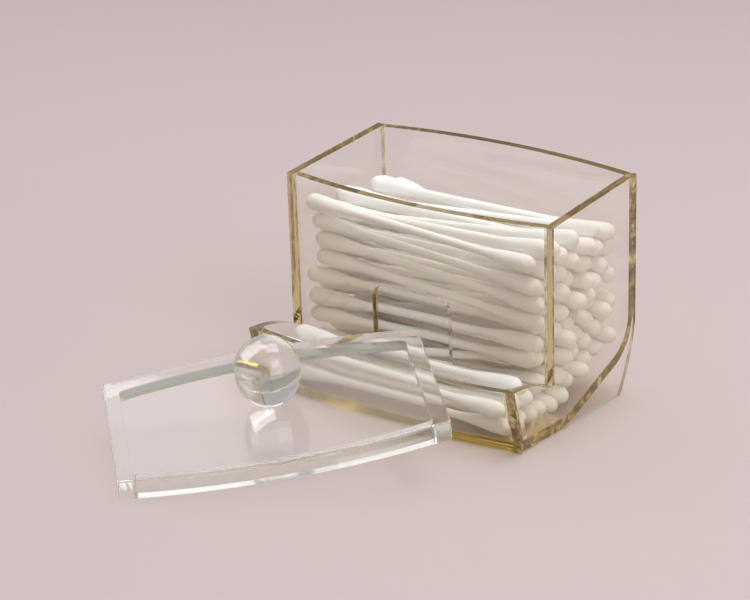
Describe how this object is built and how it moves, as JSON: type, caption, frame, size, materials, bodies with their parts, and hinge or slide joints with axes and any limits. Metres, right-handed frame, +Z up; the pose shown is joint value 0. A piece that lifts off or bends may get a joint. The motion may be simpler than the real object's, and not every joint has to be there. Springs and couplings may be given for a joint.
{
  "type": "cotton swab box",
  "caption": "Clear acrylic dispenser box of cotton swabs with bowed walls, a sloping floor that feeds a pick-up trough, and a lift-off lid with a ball knob leaning on the trough's lip.",
  "frame": {"origin": "middle of the flat underside of the floor, under the pick-up trough, on the table", "axes": "+X along the box's length to its right end, +Y from the trough to the back wall, +Z up from the table"},
  "size_m": [0.0985, 0.1551, 0.0658],
  "materials": {
    "amber_acrylic": "clear acrylic yellowed with age, polished faces, amber cut edges",
    "clear_acrylic": "clear moulded acrylic, polished",
    "cotton": "matte white cotton buds on smooth white paper sticks"
  },
  "bodies": {
    "root": {"left_end_panel": "amber_acrylic", "right_end_panel": "amber_acrylic", "front_wall": "amber_acrylic", "back_and_floor": "amber_acrylic", "trough_lip": "amber_acrylic", "lid": "clear_acrylic", "lid_knob": "clear_acrylic", "swabs_bottom": "cotton", "swabs_lower": "cotton", "swabs_upper": "cotton", "swabs_top": "cotton"}
  },
  "joints": []
}
